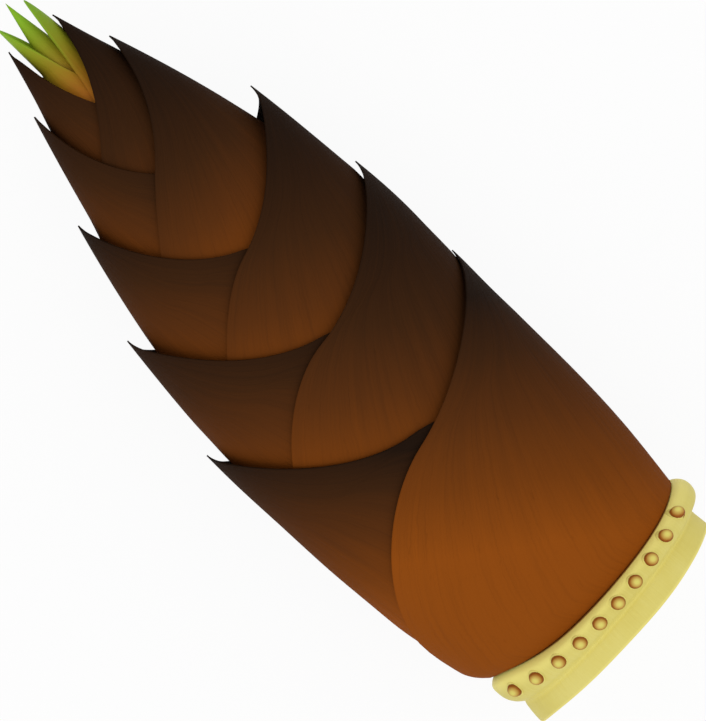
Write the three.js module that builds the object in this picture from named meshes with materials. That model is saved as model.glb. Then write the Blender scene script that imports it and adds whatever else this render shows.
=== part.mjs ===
// Bamboo shoot, freshly cut, lying on its side.
// Units are millimetres and +Z is up.
//
// The shoot is modelled about its own axis: y runs from the cut base to the tip and is 0 where the
// cut meets the upper side, x runs across it to the two sides on which the sheaths have their tips
// by turns, and z away from the surface that it lies on. An angle around the shoot is 0 at the
// upper side, 90 at the right and -90 at the left. Every layer follows one core shape at its own
// level, so the sheaths nest as on a real shoot: level 0 is the core and each level outward is one
// LAYER_PITCH further out.

import * as THREE from 'three';

const { clamp, degToRad, lerp, smoothstep } = THREE.MathUtils;

// ---- driving dimensions -------------------------------------------------------------------

const SPEAR_TIP = 293.8; // height of the highest tip

const CORE_RADIUS = 36.5; // half width of the core where it is fullest
const CORE_DEPTH = 0.85; // depth of the core as a share of its width
const BELLY_DEPTH = 0.93; // the same on the lower side, where the middle of the shoot sags
const BELLY_FROM = 95;
const BELLY_TO = 145;
const FULL_FROM = 111; // the shoot narrows below this height
const NARROWING_REACH = 90;
const NARROWING_POWER = 2.2;
const TAPER_FROM = 146; // and above this one
const TAPER_LENGTH = 149.5;
const TAPER_POWER = 1.62;
const BASE_NARROWING = 7.8; // how much the half width shrinks down to the root ring
const TUCK_DEPTH = 3.4; // the foot of the outermost sheath turns in, all of it on the left
const TUCK_HEIGHT = 10;

// Slight swells and hollows. Each moves one flank outward by rise at a height, the right one where
// side is 1, and fades over reach.
const SWELLS = [
  { side: -1, rise: 1.2, height: 46, reach: 15 },
  { side: -1, rise: -1.2, height: 99, reach: 24 },
  { side: 1, rise: 0.8, height: 127, reach: 14 },
  { side: 1, rise: -0.6, height: 180, reach: 28 },
];

const LAYER_PITCH = 1.8; // one sheath and the gap under it
const SHEATH_WALL = 1.3;
const MARGIN_WALL = 0.5; // a sheath thins out towards its margin

const FIRST_NODE = 17.4; // height at which the outermost sheath is attached
const NODE_SPACING = 8; // distance from one attachment to the next
const FOOT_WAVES = [ // the lowest foot rides up on both sides, most on the left
  { rise: 3.6, facing: -68, width: 28 },
  { rise: 1.6, facing: 80, width: 30 },
];

const LOWER_BEND = { shift: 4.2, reach: 22 }; // the stump leans to the right
const BOW = { shift: -3.7, centre: 108, width: 50 }; // the belly bows to the left
const RING_SLANT = { degrees: 5.6, reach: 45 }; // the rings of the base climb to the right
const CUT_SLANT = { degrees: 4.9, reach: 12 }; // and the cut climbs to the upper side

const REST = { rise: 2.1, roll: 1.05 }; // degrees by which the resting shoot lifts its tip and rolls

// Stations of the stump, as [height, half width, shift to the right]: a straight band above the
// cut, a groove and the fuller root ring, whose shoulder turns in under the lowest foot.
const STUMP = [
  [-3.1, 42.4, -4.2], [-2.4, 42.9, -4.2], [4.6, 42.4, -3.1], [6.6, 42.2, -2.5], [7.6, 43.8, -1.7],
  [9, 45.8, -1], [11.4, 47.1, -1], [14, 47.3, -1.1], [15.6, 46.4, -1.3], [16.6, 43.7, -0.6],
];
const RING_MIDDLE = 12; // above it the root ring follows the waves of the lowest foot

// Gap between the culm and the sheaths around it.
const CULM_CLEARANCE = 0.6;

// Stations of the growing point above the topmost attachment, as [height, half width].
const GROWING_POINT = [[205, 26.6], [224, 17], [236, 10], [245, 5.5]];
const CORE_STATIONS = [115, 140, 165, 186]; // heights between the two

// Sheaths from the outermost inward. tip is the height of the pointed end. From there the margin
// falls over a shoulder to cross, its height on the upper side of the shoot, a quarter turn away,
// and on to drop below that at the back. shoulder and sweep say how steeply it runs at the tip and
// at cross, in mm for each quarter turn, and under moves the crossing on the lower side. standOff
// says how far the side with the tip stands off from its layer, where it comes out from under the
// sheath below, at the foot, and at its own tip, the end.
const SHEATHS = [
  {
    name: 'sheath_right_1', side: 1, tip: 129, cross: 98, shoulder: -8, sweep: -19,
    drop: 84, under: 13, standOff: { foot: 0, end: -1.8 },
  },
  {
    name: 'sheath_left_1', side: -1, tip: 137.9, cross: 102.5, shoulder: 4, sweep: -12,
    drop: 84, under: 3, standOff: { foot: 0, end: 1.1 },
  },
  {
    name: 'sheath_right_2', side: 1, tip: 173.4, cross: 145.4, shoulder: -2, sweep: -8,
    drop: 76, under: -3, standOff: { foot: 1.1, end: 0.9 },
  },
  {
    name: 'sheath_left_2', side: -1, tip: 184.3, cross: 147, shoulder: -3, sweep: -20,
    drop: 84, under: 2, standOff: { foot: 0.3, end: 2.8 },
  },
  {
    name: 'sheath_right_3', side: 1, tip: 216.3, cross: 183.3, shoulder: -14, sweep: -20,
    drop: 81, under: 4, standOff: { foot: 2, end: 4.6 },
  },
  {
    name: 'sheath_left_3', side: -1, tip: 223.6, cross: 185.4, shoulder: 8, sweep: -28,
    drop: 84, under: -2, standOff: { foot: 0.2, end: 0 },
  },
  {
    name: 'sheath_right_4', side: 1, tip: 261.7, cross: 224.6, shoulder: 12, sweep: -46,
    drop: 84, under: 3, standOff: { foot: -0.3, end: -0.4 },
  },
  {
    name: 'sheath_left_4', side: -1, tip: 260, cross: 219.8, shoulder: 14, sweep: -40,
    drop: 84, under: -3, standOff: { foot: -1.3, end: -0.5 },
  },
  {
    name: 'sheath_right_5', side: 1, tip: 280.1, cross: 251.4, shoulder: 0, sweep: -46,
    drop: 62, under: -2, standOff: { foot: 0.2, end: 1.2 },
  },
  {
    name: 'sheath_left_5', side: -1, tip: 281, cross: 251.2, shoulder: 0, sweep: -54,
    drop: 84, under: 2, standOff: { foot: 0, end: 1.6 },
  },
];

// Colours of the lowest and the topmost sheath.
const SHEATH_FOOT = 0x6f3b15;
const SHEATH_TOP = 0x33200f;

const UNDER_SHOULDER = -34; // on the lower side every margin slopes away from its tip faster
const BACK_SWEEP = -105; // how steeply a margin runs at the back
const POINT = { height: 1.5, halfAngle: 14, power: 1.2 }; // the narrow point on top of each margin
const LEAST_COLLAR = 5; // height of the unbroken tube at the foot of a sheath
const STAND_OFF_ANGLE = 55; // degrees to either side of the tip over which a sheath stands off
const STAND_OFF_POWER = 1.5; // it stands off faster towards the tip
const STAND_OFF_LEAD = 20; // and eases in over this height under the sheath below

// Young green leaves inside the sheaths. Each is a strip wrapped around the axis: facing is the
// angle of its midrib, spread the half angle that it covers spreadDrop below its tip.
const LEAVES = [
  {
    name: 'leaf_left', facing: -90, foot: 238, tip: 289.4, tipRadius: 6.3, widening: -0.01,
    shoulder: 268, belly: 0.38, spread: 69.6, spreadDrop: 10.8, rounding: 0.552, colour: 0x7f8a22,
  },
  {
    name: 'leaf_right', facing: 61, foot: 240, tip: 290.8, tipRadius: 8.1, widening: 0.11,
    shoulder: 262, belly: 0.24, spread: 31, spreadDrop: 13.3, rounding: 0.68, colour: 0x83801f,
  },
];
const LEAF_WALL = 0.9;
const NARROWEST = 1.5; // half angle of a leaf at its very tip

// The rolled leaf in the middle, as [height, half width], leaning a little to the right.
const SPEAR = [[246, 6.2], [258, 6.2], [268, 5], [278.2, 3.1], [285, 1.8]];
const SPEAR_LEAN = 2;

// Root buds stand in one row on the root ring, ten above and ten below, and leave the two
// flanks bare where the shoot's own side buds sit.
const BUDS_PER_ROW = 10;
const BUD_ARC = 57.5; // half the angle that a row covers
const BUD_CENTRE = -2.8; // the row is not quite central
const BUD_SKEW = 2.2; // and both its ends lie a little further left
const BUD_CROWDING = 0.14; // how much closer they stand in the middle of a row
const BUD_HEIGHT_ON_RING = 14.6;
const BUD_DIP = 2.1; // the row dips towards the base in its middle
const BUD_RADIUS = 2.45;
const BUD_DOME = 1.5;
const BUD_SEAT = 0.35; // gap under a bud

// ---- resolution ---------------------------------------------------------------------------

// Degrees from the line of tips at which every layer has its columns of vertices.
const COLUMN_ANGLES = [0, 4, 12, 22, 34, 46, 58, 70, 83];
// Rows of a sheath as shares of the way from its foot to its margin. The outermost has more rows
// where its foot turns in, as shares of FOOT_ZONE, and the zone takes half of it where it is low.
const SHEATH_ROWS = [0, 0.13, 0.27, 0.41, 0.55, 0.7, 0.85, 1];
const FOOT_ROWS = [0, 1 / 3, 2 / 3];
const FOOT_ZONE = 12;
const LEAF_ROWS = 8;
const LEAF_ROW_BIAS = 1.6; // puts more rows near the tip
const LEAF_COLUMNS = 10;
const SPEAR_SIDES = 16;
const BUD_SIDES = 8;

// ---- shape of the shoot -------------------------------------------------------------------

/** Smooth hump of height 1 around a centre. */
const hump = (value, centre, width) => Math.exp(-(((value - centre) / width) ** 2));

/** How far the swells widen the core at a height. */
function swellAt(y) {
  return SWELLS.reduce((sum, { rise, height, reach }) => sum + (rise / 2) * hump(y, height, reach), 0);
}

/** How far they move its axis to the right, so that the other flank stays where it is. */
function swayAt(y) {
  return SWELLS.reduce((sum, swell) => (
    sum + (swell.side * swell.rise / 2) * hump(y, swell.height, swell.reach)
  ), 0);
}

/** How strongly the shoot is tucked in at a height, from 0 to 1. */
const tuckAt = (y) => clamp(1 - (y - FIRST_NODE) / TUCK_HEIGHT, 0, 1);

/** Half width of the core at a height. */
function coreRadius(y) {
  const below = Math.max(0, (FULL_FROM - y) / NARROWING_REACH);
  const above = clamp((y - TAPER_FROM) / TAPER_LENGTH, 0, 1);
  return CORE_RADIUS * (1 - above ** TAPER_POWER)
    - BASE_NARROWING * below ** NARROWING_POWER
    - TUCK_DEPTH * tuckAt(y) ** 2
    + swellAt(y);
}

/** Half width of a layer's outer face. */
const layerRadius = (level, y) => coreRadius(y) + level * LAYER_PITCH;

/** Where the bent axis passes at a height. */
function axisShift(y) {
  return LOWER_BEND.shift * Math.exp(-y / LOWER_BEND.reach)
    + BOW.shift * hump(y, BOW.centre, BOW.width)
    + TUCK_DEPTH * tuckAt(y) ** 2
    + swayAt(y);
}

/** How far a ring at height y climbs for each mm towards the side that it slants up to. */
function climb(slant, y) {
  return Math.tan(degToRad(slant.degrees) * clamp(1 - y / slant.reach, 0, 1));
}

/** Point on an oval ring around the bent axis, at an angle in degrees. */
function ringPoint(angle, y, halfWidth, shift = 0) {
  const turn = degToRad(angle);
  const belly = lerp(CORE_DEPTH, BELLY_DEPTH, smoothstep(y, BELLY_FROM, BELLY_TO));
  const depth = Math.cos(turn) < 0 ? belly : CORE_DEPTH;
  const flattening = (1 - depth) * coreRadius(Math.max(y, FIRST_NODE));
  const x = halfWidth * Math.sin(turn);
  const z = Math.max(halfWidth - flattening, halfWidth * depth) * Math.cos(turn);
  const height = y + x * climb(RING_SLANT, y) + z * climb(CUT_SLANT, y);
  return new THREE.Vector3(axisShift(y) + shift + x, height, z);
}

/** Cubic from (0, from) to (1, to) with the given slopes at its ends. */
function hermite(t, from, slopeFrom, to, slopeTo) {
  const t2 = t * t;
  const t3 = t2 * t;
  return (2 * t3 - 3 * t2 + 1) * from + (t3 - 2 * t2 + t) * slopeFrom
    + (3 * t2 - 2 * t3) * to + (t3 - t2) * slopeTo;
}

/** Height of a sheath's margin at an angle from its tip; positive angles are the upper side. */
function marginHeight(sheath, foot, angle) {
  const away = Math.abs(angle);
  const shoulder = angle < 0 ? UNDER_SHOULDER : sheath.shoulder;
  const cross = sheath.cross + (angle < 0 ? sheath.under : 0);
  if (away <= 90) {
    const point = POINT.height * clamp(1 - away / POINT.halfAngle, 0, 1) ** POINT.power;
    return point + hermite(away / 90, sheath.tip - POINT.height, shoulder, cross, sheath.sweep);
  }
  const back = Math.max(sheath.cross - sheath.drop, foot + LEAST_COLLAR);
  return hermite((away - 90) / 90, cross, sheath.sweep, back, BACK_SWEEP);
}

/** Angles of the shared columns, once around the shoot from -180 to 180. */
function columnAngles() {
  const right = COLUMN_ANGLES.flatMap((a) => (a === 0 ? [90] : [90 - a, 90 + a]));
  const all = [...right, ...right.map((a) => a - 180)];
  return all.map((a) => (a > 180 ? a - 360 : a)).sort((a, b) => a - b);
}

// ---- mesh helpers -------------------------------------------------------------------------

/** Indexed geometry from vectors and triangles. */
function geometryFrom(points, triangles) {
  const geometry = new THREE.BufferGeometry().setFromPoints(points);
  geometry.setIndex(triangles);
  geometry.computeVertexNormals();
  return geometry;
}

/** Two triangles for the quad a-b-c-d. */
const quad = (a, b, c, d) => [a, b, c, a, c, d];

/**
 * Thin wall from columns of points. Each column runs up the outer face and down the inner one.
 * A closed wall joins its last column to its first, an open one gets an edge at either side.
 */
function wallGeometry(columns, closed) {
  const loop = columns[0].length;
  const points = columns.flat();
  const triangles = [];
  const spans = closed ? columns.length : columns.length - 1;
  for (let i = 0; i < spans; i += 1) {
    const here = i * loop;
    const next = ((i + 1) % columns.length) * loop;
    for (let j = 0; j < loop; j += 1) {
      const up = (j + 1) % loop;
      triangles.push(...quad(here + j, next + j, next + up, here + up));
    }
  }
  if (!closed) {
    const last = (columns.length - 1) * loop;
    for (let j = 0; j < loop / 2 - 1; j += 1) {
      const back = loop - 1 - j;
      triangles.push(...quad(j, j + 1, back - 1, back));
      triangles.push(...quad(last + j, last + back, last + back - 1, last + j + 1));
    }
  }
  return geometryFrom(points, triangles);
}

/** Solid from rings of equal length stacked along y, closed by a point at either end. */
function stackGeometry(rings, bottom, top) {
  const sides = rings[0].length;
  const points = [...rings.flat(), bottom, top];
  const bottomIndex = points.length - 2;
  const topIndex = points.length - 1;
  const lastRing = (rings.length - 1) * sides;
  const triangles = [];
  for (let i = 0; i < sides; i += 1) {
    const next = (i + 1) % sides;
    for (let r = 0; r < rings.length - 1; r += 1) {
      const low = r * sides;
      const high = low + sides;
      triangles.push(...quad(low + i, low + next, high + next, high + i));
    }
    triangles.push(bottomIndex, next, i);
    triangles.push(topIndex, lastRing + i, lastRing + next);
  }
  return geometryFrom(points, triangles);
}

/** Named mesh with its own material. */
function makeMesh(name, geometry, colour, roughness) {
  const material = new THREE.MeshStandardMaterial({ color: colour, roughness, metalness: 0 });
  const mesh = new THREE.Mesh(geometry, material);
  mesh.name = name;
  return mesh;
}

// ---- pieces -------------------------------------------------------------------------------

/** Level of a sheath, counted outward from the core. */
const levelOf = (index) => SHEATHS.length - index;

/** Height at which a sheath is attached to the culm. */
const footOf = (index) => FIRST_NODE + index * NODE_SPACING;

/** How far the waves of the lowest foot raise it at an angle around the shoot. */
function footWave(angle) {
  return FOOT_WAVES.reduce((sum, wave) => sum + wave.rise * hump(angle, wave.facing, wave.width), 0);
}

/** The cream stump, the culm inside the sheaths and its growing point, one solid. */
function makeCulm() {
  const nodes = SHEATHS.map((_, index) => {
    const height = footOf(index) - CULM_CLEARANCE;
    return [height, layerRadius(levelOf(index) - 1, height)];
  });
  const core = CORE_STATIONS.map((height) => [height, coreRadius(height) - CULM_CLEARANCE]);
  const stations = [...STUMP, ...nodes, ...core, ...GROWING_POINT];
  const angles = columnAngles();
  const rings = stations.map(([y, radius, shift = 0]) => {
    const follow = y < FIRST_NODE ? smoothstep(y, RING_MIDDLE, FIRST_NODE) : 0;
    return angles.map((angle) => ringPoint(angle, y + follow * footWave(angle), radius, shift));
  });
  const [cutHeight, , cutShift] = stations[0];
  const cutFace = ringPoint(0, cutHeight, 0, cutShift);
  const apex = ringPoint(0, stations.at(-1)[0], 0);
  return makeMesh('culm', stackGeometry(rings, cutFace, apex), 0xded072, 0.55);
}

/** Height of a sheath's foot at an angle around the shoot. */
const footHeight = (index, angle) => footOf(index) + (index === 0 ? footWave(angle) : 0);

/** How far a sheath stands off at a height and an angle from its tip. */
function standOffAt(sheath, index, y, away) {
  const start = index < 2 ? sheath.cross : SHEATHS[index - 2].tip;
  const { foot, end } = sheath.standOff;
  const near = 1 - smoothstep(away, 0, STAND_OFF_ANGLE);
  if (y < start) return near * foot * smoothstep(y, start - STAND_OFF_LEAD, start);
  const rise = clamp((y - start) / (sheath.tip - start), 0, 1);
  return near * lerp(foot, end, rise ** STAND_OFF_POWER);
}

/** Heights of a sheath's rows from its foot to its margin. */
function sheathRows(index, foot, top) {
  const zone = index === 0 ? Math.min(FOOT_ZONE, (top - foot) / 2) : 0;
  const low = zone > 0 ? FOOT_ROWS.map((share) => foot + zone * share) : [];
  return [...low, ...SHEATH_ROWS.map((share) => lerp(foot + zone, top, share))];
}

/** One culm sheath: a thin wall wrapped all the way around, with a pointed, slanting margin. */
function makeSheath(sheath, index) {
  const columns = columnAngles().map((angle) => {
    const foot = footHeight(index, angle);
    const facing = ((angle * sheath.side - 90 + 540) % 360) - 180;
    const fromTip = Math.abs(angle) > 90 ? -Math.abs(facing) : Math.abs(facing);
    const top = marginHeight(sheath, foot, fromTip);
    const outer = [];
    const inner = [];
    for (const y of sheathRows(index, foot, top)) {
      const share = (y - foot) / (top - foot);
      const standOff = standOffAt(sheath, index, y, Math.abs(fromTip));
      const radius = layerRadius(levelOf(index), y) + standOff;
      const wall = lerp(SHEATH_WALL, MARGIN_WALL, share ** 3);
      outer.push(ringPoint(angle, y, radius));
      inner.push(ringPoint(angle, y, radius - wall));
    }
    return [...outer, ...inner.reverse()];
  });
  const colour = new THREE.Color(SHEATH_FOOT).lerp(new THREE.Color(SHEATH_TOP), index / SHEATHS.length);
  return makeMesh(sheath.name, wallGeometry(columns, true), colour, 0.5);
}

/** One green leaf: a strip wrapped part of the way around, ending in a point. */
function makeLeaf(leaf) {
  const heights = [];
  for (let row = 0; row <= LEAF_ROWS; row += 1) {
    const share = 1 - (1 - row / LEAF_ROWS) ** LEAF_ROW_BIAS;
    heights.push(lerp(leaf.foot, leaf.tip, share));
  }
  const columns = [];
  for (let column = 0; column <= LEAF_COLUMNS; column += 1) {
    const across = (2 * column) / LEAF_COLUMNS - 1;
    const outer = [];
    const inner = [];
    for (const y of heights) {
      const drop = (leaf.tip - y) / leaf.spreadDrop;
      const halfAngle = Math.max(leaf.spread * drop ** leaf.rounding, NARROWEST);
      const angle = leaf.facing + across * halfAngle;
      const radius = leaf.tipRadius + leaf.widening * (leaf.tip - y)
        + leaf.belly * Math.max(0, leaf.shoulder - y);
      outer.push(ringPoint(angle, y, radius));
      inner.push(ringPoint(angle, y, radius - LEAF_WALL));
    }
    columns.push([...outer, ...inner.reverse()]);
  }
  return makeMesh(leaf.name, wallGeometry(columns, false), leaf.colour, 0.45);
}

/** The rolled middle leaf, a slender solid spear. */
function makeSpear() {
  const foot = SPEAR[0][0];
  const lean = (y) => (SPEAR_LEAN * (y - foot)) / (SPEAR_TIP - foot);
  const rings = SPEAR.map(([y, radius]) => {
    const ring = [];
    for (let side = 0; side < SPEAR_SIDES; side += 1) {
      const angle = -180 + (360 * side) / SPEAR_SIDES;
      ring.push(ringPoint(angle, y, radius, lean(y)));
    }
    return ring;
  });
  const bottom = new THREE.Vector3(axisShift(foot), foot, 0);
  const top = new THREE.Vector3(axisShift(SPEAR_TIP) + SPEAR_LEAN, SPEAR_TIP, 0);
  return makeMesh('leaf_spear', stackGeometry(rings, bottom, top), 0x86912a, 0.45);
}

/** Low dome of one root bud, its foot at the origin and its top along +Z. */
function budGeometry() {
  const profile = [
    new THREE.Vector2(0, 0),
    new THREE.Vector2(BUD_RADIUS * 0.94, 0),
    new THREE.Vector2(BUD_RADIUS, BUD_DOME * 0.3),
    new THREE.Vector2(BUD_RADIUS * 0.72, BUD_DOME * 0.8),
    new THREE.Vector2(0, BUD_DOME),
  ];
  return new THREE.LatheGeometry(profile, BUD_SIDES).rotateX(Math.PI / 2);
}

/** Root buds on the root ring. */
function makeRootBuds() {
  const buds = [];
  const [, ringRadius, ringShift] = STUMP.reduce((a, b) => (b[1] > a[1] ? b : a));
  for (let index = 0; index < 2 * BUDS_PER_ROW; index += 1) {
    const upper = index < BUDS_PER_ROW;
    const t = (2 * (index % BUDS_PER_ROW)) / (BUDS_PER_ROW - 1) - 1;
    const along = BUD_ARC * ((1 - BUD_CROWDING) * t + BUD_CROWDING * t ** 3);
    const facing = BUD_CENTRE - BUD_SKEW * t * t + along;
    const angle = upper ? facing : 180 - facing;
    const y = BUD_HEIGHT_ON_RING - BUD_DIP * (1 - t * t);
    const foot = ringPoint(angle, y, ringRadius + BUD_SEAT, ringShift);
    const beyond = ringPoint(angle, y, ringRadius + BUD_SEAT + 1, ringShift);
    const name = `root_bud_${String(index + 1).padStart(2, '0')}`;
    const bud = makeMesh(name, budGeometry(), 0x9a5a20, 0.6);
    bud.position.copy(foot);
    bud.quaternion.setFromUnitVectors(
      new THREE.Vector3(0, 0, 1),
      beyond.sub(foot).normalize(),
    );
    buds.push(bud);
  }
  return buds;
}

// ---- assembly -----------------------------------------------------------------------------

/** Lays the upright-modelled shoot on its belly, with the origin under the middle of its box. */
function layDown(shoot) {
  shoot.rotation.set(degToRad(REST.rise), -degToRad(REST.roll), 0);
  shoot.updateMatrixWorld(true);
  const box = new THREE.Box3().setFromObject(shoot, true);
  const centre = box.getCenter(new THREE.Vector3());
  shoot.position.set(-centre.x, -centre.y, -box.min.z);
}

const shoot = new THREE.Group();
shoot.add(makeCulm());
SHEATHS.forEach((sheath, index) => shoot.add(makeSheath(sheath, index)));
LEAVES.forEach((leaf) => shoot.add(makeLeaf(leaf)));
shoot.add(makeSpear());
makeRootBuds().forEach((bud) => shoot.add(bud));
layDown(shoot);

const group = new THREE.Group();
group.add(shoot);

export default group;
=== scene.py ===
"""Looks of a freshly cut bamboo shoot that lies on its side.

Sizes are millimetres in the shoot's own frame: y runs from the cut base to the tip and is 0 where
the cut meets the upper side, x runs to the right and z away from the surface that the shoot lies
on. An angle around the shoot is 0 at the upper side, 90 at the right and -90 at the left. Only
finished meshes are metres, at their resting place.
"""

import logging
import math
from collections.abc import Callable, Iterator, Sequence
from contextlib import contextmanager
from dataclasses import dataclass, field
from enum import Enum
from typing import Any

import bpy
from mathutils import Matrix, Vector


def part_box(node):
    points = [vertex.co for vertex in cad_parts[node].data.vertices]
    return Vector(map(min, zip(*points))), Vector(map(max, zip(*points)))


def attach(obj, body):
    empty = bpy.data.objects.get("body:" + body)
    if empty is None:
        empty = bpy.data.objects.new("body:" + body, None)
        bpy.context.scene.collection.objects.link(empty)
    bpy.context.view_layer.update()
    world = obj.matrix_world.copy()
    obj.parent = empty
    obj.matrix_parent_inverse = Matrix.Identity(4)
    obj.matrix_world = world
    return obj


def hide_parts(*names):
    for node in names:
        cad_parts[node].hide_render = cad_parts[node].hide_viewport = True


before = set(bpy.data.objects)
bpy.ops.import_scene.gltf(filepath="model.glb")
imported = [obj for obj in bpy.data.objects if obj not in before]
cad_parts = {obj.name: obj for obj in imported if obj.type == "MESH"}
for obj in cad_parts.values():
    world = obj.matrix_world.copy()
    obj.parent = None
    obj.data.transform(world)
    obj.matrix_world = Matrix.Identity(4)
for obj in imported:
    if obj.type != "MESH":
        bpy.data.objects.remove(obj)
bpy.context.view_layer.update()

Piece = bpy.types.Object
Paint = bpy.types.Material
Socket = bpy.types.NodeSocket
Rows = tuple[tuple[float, ...], ...]

LOG = logging.getLogger("bamboo_shoot")
WHITE = (1.0, 1.0, 1.0, 1.0)
MM = 0.001
SEAM_GAP = 0.01 * MM
CHART_UNIT = 100.0  # millimetres for each unit of height on the vein charts
ON_CUT = 1e-4  # height below which a point of the straight culm is on the cut face


# ---- small sums ----


def clamp(value: float, low: float = 0.0, high: float = 1.0) -> float:
    """Returns the value kept between low and high."""
    return max(low, min(high, value))


def lerp(start: float, end: float, share: float) -> float:
    """Returns the value that lies the given share of the way from start to end."""
    return start + (end - start) * share


def smoothstep(value: float, low: float, high: float) -> float:
    """Returns 0 below low, 1 above high and a soft curve between them."""
    share = clamp((value - low) / (high - low))
    return share * share * (3.0 - 2.0 * share)


def angle_of(co: Vector) -> float:
    """Returns the degrees around the shoot of a point of a straight column."""
    return math.degrees(math.atan2(co.x, co.y))


def reach_of(co: Vector) -> float:
    """Returns how far a point of a straight column is from its axis."""
    return math.hypot(co.x, co.y)


def hump(value: float, centre: float, width: float) -> float:
    """Returns the height of a smooth hump that is 1 at its centre."""
    return math.exp(-((value - centre) / width) ** 2)


def waves(rows: Rows, angle: float) -> float:
    """Returns the sum of humps that are rows of (rise, facing, width) at an angle."""
    return sum(rise * hump(angle, facing, width) for rise, facing, width in rows)


def hermite(share: float, start: float, slope_start: float, end: float, slope_end: float) -> float:
    """Reads the cubic between two ends that have a slope each.

    Args:
        share: How far along to read.
        start: Value at the start.
        slope_start: Slope there.
        end: Value at the end.
        slope_end: Slope there.

    Returns:
        The value.
    """
    s2, s3 = share * share, share * share * share
    return ((2 * s3 - 3 * s2 + 1) * start + (s3 - 2 * s2 + share) * slope_start
            + (3 * s2 - 2 * s3) * end + (s3 - s2) * slope_end)


def through(stations: Sequence[tuple[float, ...]], height: float, column: int) -> float:
    """Reads a smooth curve through a list of stations.

    Args:
        stations: Rows that start with a rising height.
        height: Height to read at.
        column: Which entry of a row to read.

    Returns:
        The value of that entry at the height.
    """
    if height <= stations[0][0]:
        return stations[0][column]
    for i, (before, after) in enumerate(zip(stations, stations[1:])):
        if height <= after[0]:
            low = stations[max(i - 1, 0)]
            high = stations[min(i + 2, len(stations) - 1)]
            span = after[0] - before[0]
            slope_in = (after[column] - low[column]) / (after[0] - low[0]) * span
            slope_out = (high[column] - before[column]) / (high[0] - before[0]) * span
            share = (height - before[0]) / span
            return hermite(share, before[column], slope_in, after[column], slope_out)
    return stations[-1][column]


# ---- shape shared by all the layers ----


class Side(Enum):
    """Side of the shoot on which a sheath has its tip."""

    RIGHT = 1
    LEFT = -1


class Slot(Enum):
    """Names of the material slots that the pieces stand for; the script does not read them."""

    STUMP = "stump"
    SHEATH = "sheath"
    GREEN_LEAF = "green_leaf"
    ROOT_BUD = "root_bud"


@dataclass(frozen=True)
class Swell:
    """A slight swell or hollow of one flank, fullest at a height and fading over a reach."""

    side: Side
    rise: float
    height: float
    reach: float

    def at(self, y: float) -> float:
        """Returns how far the flank is moved at a height."""
        return self.rise * hump(y, self.height, self.reach)


@dataclass(frozen=True)
class ShootForm:
    """The core shape that every layer of the shoot follows at its own level."""

    layers: int = 10
    core_width: float = 36.5
    core_depth: float = 0.85
    belly_depth: float = 0.93
    belly_from: float = 95.0
    belly_to: float = 145.0
    full_from: float = 111.0
    narrowing_reach: float = 90.0
    narrowing_power: float = 2.2
    base_narrowing: float = 7.8
    taper_from: float = 146.0
    taper_length: float = 149.5
    taper_power: float = 1.62
    tuck_depth: float = 3.4
    tuck_height: float = 10.0
    layer_pitch: float = 1.8
    first_node: float = 17.4
    node_spacing: float = 8.0
    bend_shift: float = 4.2
    bend_reach: float = 22.0
    bow_shift: float = -3.7
    bow_centre: float = 108.0
    bow_width: float = 50.0
    ring_slant: float = 5.6
    ring_slant_reach: float = 45.0
    cut_slant: float = 4.9
    cut_slant_reach: float = 12.0
    swells: tuple[Swell, ...] = (
        Swell(Side.LEFT, 1.2, 46.0, 15.0), Swell(Side.LEFT, -1.2, 99.0, 24.0),
        Swell(Side.RIGHT, 0.8, 127.0, 14.0), Swell(Side.RIGHT, -0.6, 180.0, 28.0))
    foot_waves: Rows = ((3.6, -68.0, 28.0), (1.6, 80.0, 30.0))

    def tuck(self, y: float) -> float:
        """Returns how strongly the shoot is tucked in at a height, from 0 to 1."""
        return clamp(1.0 - (y - self.first_node) / self.tuck_height)

    def core_radius(self, y: float) -> float:
        """Finds the half width of the core.

        Args:
            y: Height.

        Returns:
            Half the width at the height.
        """
        below = max(0.0, (self.full_from - y) / self.narrowing_reach)
        above = clamp((y - self.taper_from) / self.taper_length)
        return (self.core_width * (1.0 - above ** self.taper_power)
                - self.base_narrowing * below ** self.narrowing_power
                - self.tuck_depth * self.tuck(y) ** 2
                + sum(swell.at(y) / 2.0 for swell in self.swells))

    def layer_radius(self, level: int, y: float) -> float:
        """Returns the half width of a layer's outer face."""
        return self.core_radius(y) + level * self.layer_pitch

    def axis_shift(self, y: float) -> float:
        """Returns how far to the right the bent axis passes at a height."""
        return (self.bend_shift * math.exp(-y / self.bend_reach)
                + self.bow_shift * hump(y, self.bow_centre, self.bow_width)
                + self.tuck_depth * self.tuck(y) ** 2
                + sum(swell.side.value * swell.at(y) / 2.0 for swell in self.swells))

    def foot_wave(self, angle: float) -> float:
        """Returns how far the waves of the lowest foot raise it at an angle."""
        return waves(self.foot_waves, angle)

    @staticmethod
    def climb(degrees: float, reach: float, y: float) -> float:
        """Returns how far a slanted ring at a height climbs for each mm across."""
        return math.tan(math.radians(degrees) * clamp(1.0 - y / reach))

    def ring_point(self, angle: float, y: float, half_width: float, shift: float = 0.0) -> Vector:
        """Finds a point on an oval ring around the bent axis.

        Args:
            angle: Degrees around the shoot.
            y: Height of the ring.
            half_width: Half its width.
            shift: Its own shift to the right.

        Returns:
            The point in the shoot's frame.
        """
        turn = math.radians(angle)
        belly = smoothstep(y, self.belly_from, self.belly_to) if math.cos(turn) < 0.0 else 0.0
        depth = lerp(self.core_depth, self.belly_depth, belly)
        flattening = (1.0 - depth) * self.core_radius(max(y, self.first_node))
        x = half_width * math.sin(turn)
        z = max(half_width - flattening, half_width * depth) * math.cos(turn)
        height = (y + x * self.climb(self.ring_slant, self.ring_slant_reach, y)
                  + z * self.climb(self.cut_slant, self.cut_slant_reach, y))
        return Vector((self.axis_shift(y) + shift + x, height, z))


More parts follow.
